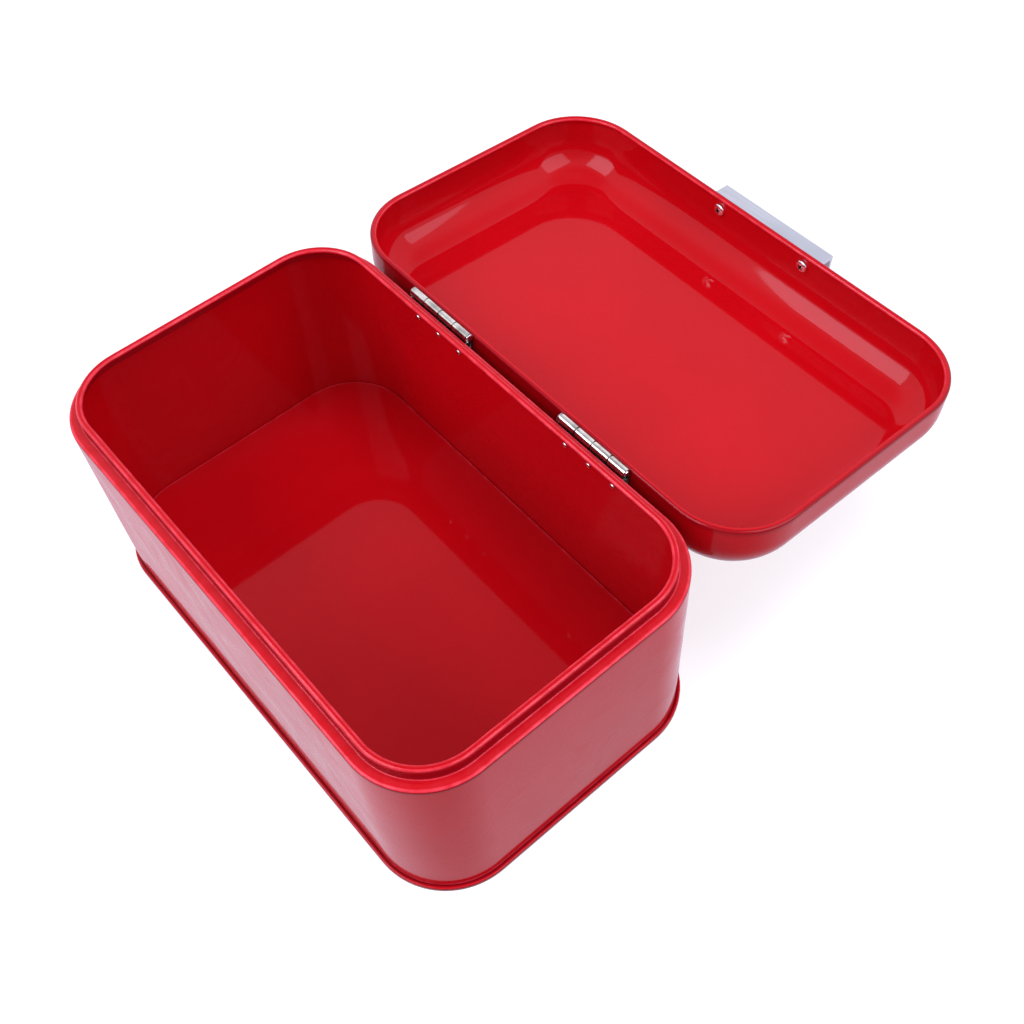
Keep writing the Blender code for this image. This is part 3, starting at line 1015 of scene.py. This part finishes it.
    def build_rivets(self, owner: Body) -> None:
        """Make a leaf's three rivets: a domed head outside and a tail set inside the wall.

        Args:
            owner: The body whose leaf they hold.
        """
        sizes = self.sizes
        face = self.plate_y + self.leaf / 2 - sizes.rear
        head_rise = self.head_rise()
        inner = -sizes.sheet
        profile = dome(self.rivet_head, face + self.rivet_edge, head_rise - self.rivet_edge)
        profile += [(self.rivet_head, face), (self.rivet_radius, face),
                    (self.rivet_radius, inner), (self.rivet_tail, inner)]
        profile += [(r, inner - self.tail_edge - h)
                    for r, h in reversed(dome(self.rivet_tail, 0.0, self.tail_rise))]
        for number in (1, 2, 3):
            node = f"{self.side}_hinge_{owner.value}_rivet_{number}"
            low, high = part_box(node)
            middle = (low + high) / 2
            height = sizes.axis.z + (1 if owner is Body.LID else -1) * self.rivet_drop()
            turn = Matrix.Rotation(-math.pi / 2, 4, 'X')
            place = Matrix.Translation((middle.x, sizes.rear, height)) @ turn
            if owner is Body.LID:
                place = sizes.lid_swing @ place
            piece = make_object(f"{self.side}_hinge_{owner.value}_dome_rivet_{number}",
                                Turning(profile, self.rivet_steps).mesh(place), self.steel)
            settle(piece, owner, Slot.STEEL, node)

    def rivet_drop(self) -> float:
        """Distance from the axis to the rivets, read from the body's first one."""
        low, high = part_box(f"{self.side}_hinge_body_rivet_1")
        return self.sizes.axis.z - (low.z + high.z) / 2

    def head_rise(self) -> float:
        """How far a head stands off its leaf: out to where its solid's head ends."""
        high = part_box(f"{self.side}_hinge_body_rivet_1")[1].y
        return high - (self.plate_y + self.leaf / 2)

    def build(self) -> None:
        """Make the whole hinge."""
        for side in (-1, 1):
            self.build_leaf(side)
        self.build_pin()
        for owner in Body:
            self.build_rivets(owner)


# ---- handle ---------------------------------------------------------------------------------
@dataclass
class Handle:
    """The lid's channel handle and the two cross-headed screws that hold it from inside."""

    sizes: Measures
    metal: bpy.types.Material
    steel: bpy.types.Material
    # Near-black material for the cross recesses: painted shade.
    cross_shade: bpy.types.Material
    depth: float = 14.0 * MM
    height: float = 10.0 * MM
    above_seat: float = 5.4 * MM
    wall: float = 2.2 * MM
    screw_radius: float = 1.8 * MM
    screw_head: float = 3.8 * MM
    screw_rise: float = 2.2 * MM
    recess_span: float = 4.4 * MM
    recess_width: float = 1.25 * MM
    recess_depth: float = 1.5 * MM
    recess_taper: float = 0.62
    side_share: float = 0.45
    crown_share: float = 0.55
    crown_steps: int = 8
    screw_chamfer: float = 0.1 * MM
    left_turn: float = 25.0
    right_turn: float = 62.0
    channel_edge: float = 0.3 * MM
    channel_steps: int = 3

    def build_channel(self) -> None:
        """Draw the channel out along X, lay it open with the lid and soften its edges."""
        sizes = self.sizes
        low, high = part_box("lid_handle")
        half = self.wall / 2
        back = sizes.front - sizes.gap - half
        grip = sizes.front - self.depth + half
        base = sizes.seat + self.above_seat + half
        top = sizes.seat + self.above_seat + self.height
        bm = bmesh.new()
        edges = chain(bm, [Vector((low.x, back, top)), Vector((low.x, back, base)),
                           Vector((low.x, grip, base)), Vector((low.x, grip, top))])
        draw_out(bm, edges, Vector((high.x - low.x, 0, 0)))
        bmesh.ops.recalc_face_normals(bm, faces=bm.faces)
        bmesh.ops.transform(bm, matrix=sizes.lid_swing, verts=bm.verts)
        piece = make_object("channel_handle", bm, self.metal)
        thicken(piece, self.wall)
        soften(piece, self.channel_edge, self.channel_steps)
        settle(piece, Body.LID, Slot.ALUMINIUM, "lid_handle")

    def recess(self, place: Matrix, wide: float, tall: float) -> bpy.types.Object:
        """Make a tapered bar that cuts one arm of the cross.

        Args:
            place: The screw's place, its axis along +Z.
            wide: Bar's size along X at its mouth.
            tall: Bar's size along Y at its mouth.

        Returns:
            The cutter.
        """
        bm = bmesh.new()
        bmesh.ops.create_cube(bm, size=1.0)
        bmesh.ops.scale(bm, vec=(wide, tall, 2 * self.recess_depth), verts=bm.verts)
        deep = [vert for vert in bm.verts if vert.co.z < 0]
        bmesh.ops.scale(bm, vec=(self.recess_taper, self.recess_taper, 1.0), verts=deep)
        crown = self.sizes.sheet + self.screw_rise
        bmesh.ops.translate(bm, vec=(0, 0, crown), verts=bm.verts)
        bmesh.ops.transform(bm, matrix=place, verts=bm.verts)
        return make_object("cross_bar", bm, self.cross_shade)

    def build_screws(self) -> None:
        """Turn each screw, cut its cross, give the cross's faces painted shade, and set it in
        place of its solid.
        """
        sizes = self.sizes
        sheet = sizes.sheet
        profile = [(0.0, sheet + self.screw_rise)]
        crown = dome(self.screw_head, 0.0, self.crown_share * self.screw_rise, self.crown_steps)
        profile += [(r, sheet + self.side_share * self.screw_rise + h) for r, h in crown[1:]]
        chamfer = self.screw_chamfer
        profile += [(self.screw_head, sheet + chamfer), (self.screw_head - chamfer, sheet),
                    (self.screw_radius, sheet), (self.screw_radius, -self.wall - sizes.gap),
                    (0.0, -self.wall - sizes.gap)]
        height = sizes.seat + self.above_seat + self.height / 2
        for side, slant in (("left", self.left_turn), ("right", self.right_turn)):
            node = f"handle_screw_{side}"
            low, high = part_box(node)
            turn = Matrix.Rotation(-math.pi / 2, 4, 'X')
            spin = Matrix.Rotation(math.radians(slant), 4, 'Z')
            place = Matrix.Translation(((low.x + high.x) / 2, sizes.front, height)) @ turn @ spin
            place = sizes.lid_swing @ place
            piece = make_object(f"cross_head_screw_{side}", Turning(profile).mesh(place),
                                self.steel)
            bars = [self.recess(place, self.recess_span, self.recess_width),
                    self.recess(place, self.recess_width, self.recess_span)]
            for bar in bars:
                modifier = piece.modifiers.new("cross", 'BOOLEAN')
                modifier.operation = 'DIFFERENCE'
                modifier.solver = 'EXACT'
                # The cut faces of the cross take the cutter's near-black material: painted shade
                # in the recess.
                modifier.material_mode = 'TRANSFER'
                modifier.object = bar
            apply_modifiers(piece)
            for bar in bars:
                bpy.data.objects.remove(bar, do_unlink=True)
            settle(piece, Body.LID, Slot.STEEL, node)

    def build(self) -> None:
        """Make the handle and its screws."""
        self.build_channel()
        self.build_screws()


# ---- studio ---------------------------------------------------------------------------------
def bearing(azimuth: float, elevation: float) -> Vector:
    """Unit vector towards a bearing.

    Args:
        azimuth: Degrees round from the box's front towards +X.
        elevation: Degrees above the floor.

    Returns:
        The direction.
    """
    around, above = math.radians(azimuth), math.radians(elevation)
    return Vector((math.sin(around) * math.cos(above), -math.cos(around) * math.cos(above),
                   math.sin(above)))


@dataclass(frozen=True)
class Softbox:
    """One rectangular studio light that faces the box."""

    name: str
    azimuth: float
    elevation: float
    distance: float
    size: Point
    radiance: float
    mirrored: bool = True

    def build(self, target: Vector, colour: Colour) -> None:
        """Hang the light on its bearing from the target and face it there.

        Args:
            target: The point that it faces.
            colour: The colour of its light.
        """
        data = bpy.data.lights.new(self.name, 'AREA')
        data.shape = 'RECTANGLE'
        data.size, data.size_y = self.size
        data.energy = math.pi * self.size[0] * self.size[1] * self.radiance
        data.color = colour
        light = bpy.data.objects.new(self.name, data)
        light.visible_glossy = self.mirrored
        towards = bearing(self.azimuth, self.elevation)
        light.location = target + towards * self.distance
        light.rotation_euler = towards.to_track_quat('Z', 'Y').to_euler()
        bpy.context.scene.collection.objects.link(light)


SOFTBOXES = (
    Softbox("left_softbox", azimuth=-8.0, elevation=39.0, distance=1.6, size=(1.25, 1.25),
            radiance=4.2),
    Softbox("right_softbox", azimuth=102.0, elevation=34.0, distance=1.6, size=(1.40, 1.1),
            radiance=2.8),
    Softbox("overhead_fill", azimuth=150.0, elevation=78.0, distance=2.0, size=(0.9, 0.9),
            radiance=8.0, mirrored=False),
)


@dataclass
class Studio:
    """A pale floor, soft light and the camera."""

    sizes: Measures
    azimuth: float = 51.193
    elevation: float = 55.799
    roll: float = -2.906
    distance: float = 706.17 * MM
    target: tuple[float, float, float] = (17.14 * MM, 94.68 * MM, 0.0)
    lens: float = 42.793
    shift: Point = (-0.03085, 0.01825)
    wall_light: float = 1.12
    ceiling_light: float = 0.38
    ceiling_edge: Point = (0.70, 0.95)
    dim_bearing: Point = (55.0, -12.0)
    dim_edge: Point = (0.30, 0.95)
    dimmed: float = 0.30
    light_colour: Colour = (0.96, 0.97, 1.15)
    floor_size: float = 4.0
    floor_glow: float = 0.64
    floor_specular: float = 0.2
    aim_height: float = 0.1
    clip: float = 0.01

    def build_floor(self) -> None:
        """Lay the pale floor, faintly mottled, which gives off light but isn't mirrored."""
        bm = bmesh.new()
        bmesh.ops.create_grid(bm, x_segments=8, y_segments=8, size=self.floor_size)
        graph = Graph("pale_floor")
        graph.constants(Specular_IOR_Level=self.floor_specular,
                        Emission_Strength=self.floor_glow)
        mottle = graph.noise(6.0, 3.0)
        colour = graph.mix(mottle, (0.35, 0.35, 0.35), (0.37, 0.37, 0.37))
        graph.shader.inputs["Emission Color"].default_value = (1.0, 1.0, 1.0, 1.0)
        roughness = graph.remap(mottle, (0.3, 0.7), (0.75, 0.9))
        material = graph.finish(colour, roughness, graph.bump(graph.noise(300.0), 0.01 * MM))
        floor = make_object("studio_floor", bm, material)
        floor.visible_glossy = floor.visible_diffuse = False

    def build_room(self) -> None:
        """Light the room evenly from its walls, with a darker ceiling straight above."""
        world = bpy.data.worlds.new("soft_room")
        world.use_nodes = True
        nodes, links = world.node_tree.nodes, world.node_tree.links
        place = nodes.new("ShaderNodeTexCoord").outputs["Generated"]
        axes = nodes.new("ShaderNodeSeparateXYZ")
        links.new(place, axes.inputs["Vector"])
        ceiling = nodes.new("ShaderNodeMapRange")
        ceiling.interpolation_type = 'SMOOTHSTEP'
        ceiling.inputs["From Min"].default_value = self.ceiling_edge[0]
        ceiling.inputs["From Max"].default_value = self.ceiling_edge[1]
        ceiling.inputs["To Min"].default_value = self.wall_light
        ceiling.inputs["To Max"].default_value = self.ceiling_light
        links.new(axes.outputs["Z"], ceiling.inputs["Value"])
        towards = nodes.new("ShaderNodeVectorMath")
        towards.operation = 'DOT_PRODUCT'
        links.new(place, towards.inputs[0])
        towards.inputs[1].default_value = bearing(*self.dim_bearing)
        side = nodes.new("ShaderNodeMapRange")
        side.interpolation_type = 'SMOOTHSTEP'
        side.inputs["From Min"].default_value = self.dim_edge[0]
        side.inputs["From Max"].default_value = self.dim_edge[1]
        side.inputs["To Min"].default_value = 1.0
        side.inputs["To Max"].default_value = self.dimmed
        links.new(towards.outputs["Value"], side.inputs["Value"])
        level = nodes.new("ShaderNodeMath")
        level.operation = 'MULTIPLY'
        links.new(ceiling.outputs["Result"], level.inputs[0])
        links.new(side.outputs["Result"], level.inputs[1])
        links.new(level.outputs["Value"], nodes["Background"].inputs["Strength"])
        nodes["Background"].inputs["Color"].default_value = (*self.light_colour, 1.0)
        bpy.context.scene.world = world

    def build_lights(self) -> None:
        """Hang two softboxes either side of the camera and an overhead fill."""
        middle = Vector((0.0, 0.0, self.aim_height))
        for light in SOFTBOXES:
            light.build(middle, self.light_colour)

    def build_camera(self) -> None:
        """Set up the camera on its azimuth, elevation and roll round the target."""
        back = bearing(self.azimuth, self.elevation)
        right = Vector((0, 0, 1)).cross(back).normalized()
        up = back.cross(right)
        roll = math.radians(self.roll)
        across = math.cos(roll) * right + math.sin(roll) * up
        above = math.cos(roll) * up - math.sin(roll) * right
        data = bpy.data.cameras.new("camera")
        data.lens = self.lens
        data.shift_x, data.shift_y = self.shift
        data.clip_start = self.clip
        camera = bpy.data.objects.new("camera", data)
        place = Matrix((across, above, back)).transposed().to_4x4()
        aim = Vector(self.target) + Vector((0.0, self.sizes.centre_y, 0.0))
        place.translation = aim + back * self.distance
        camera.matrix_world = place
        bpy.context.scene.collection.objects.link(camera)
        bpy.context.scene.camera = camera

    def build(self) -> None:
        """Set up the whole studio."""
        self.build_floor()
        self.build_room()
        self.build_lights()
        self.build_camera()
        bpy.context.scene.view_settings.view_transform = 'Standard'


def main() -> None:
    """Build every sub-assembly in order."""
    logging.basicConfig(level=logging.INFO, format="%(name)s: %(message)s")
    sizes = Measures.from_frame()
    paint = Enamel().build("red_gloss_enamel")
    plating = NICKEL.build("nickel_plate")
    steel = BRIGHT_STEEL.build("bright_steel")
    cross_shade = SHADED_RECESS_STEEL.build("recess_shade_steel")
    aluminium = SATIN_ALUMINIUM.build("satin_aluminium")
    BodyShell(sizes, paint).build()
    LidShell(sizes, paint).build()
    for side in ("left", "right"):
        Hinge(sizes, side, plating, steel).build()
    Handle(sizes, aluminium, steel, cross_shade).build()
    Studio(sizes).build()


if __name__ == "__main__":
    main()
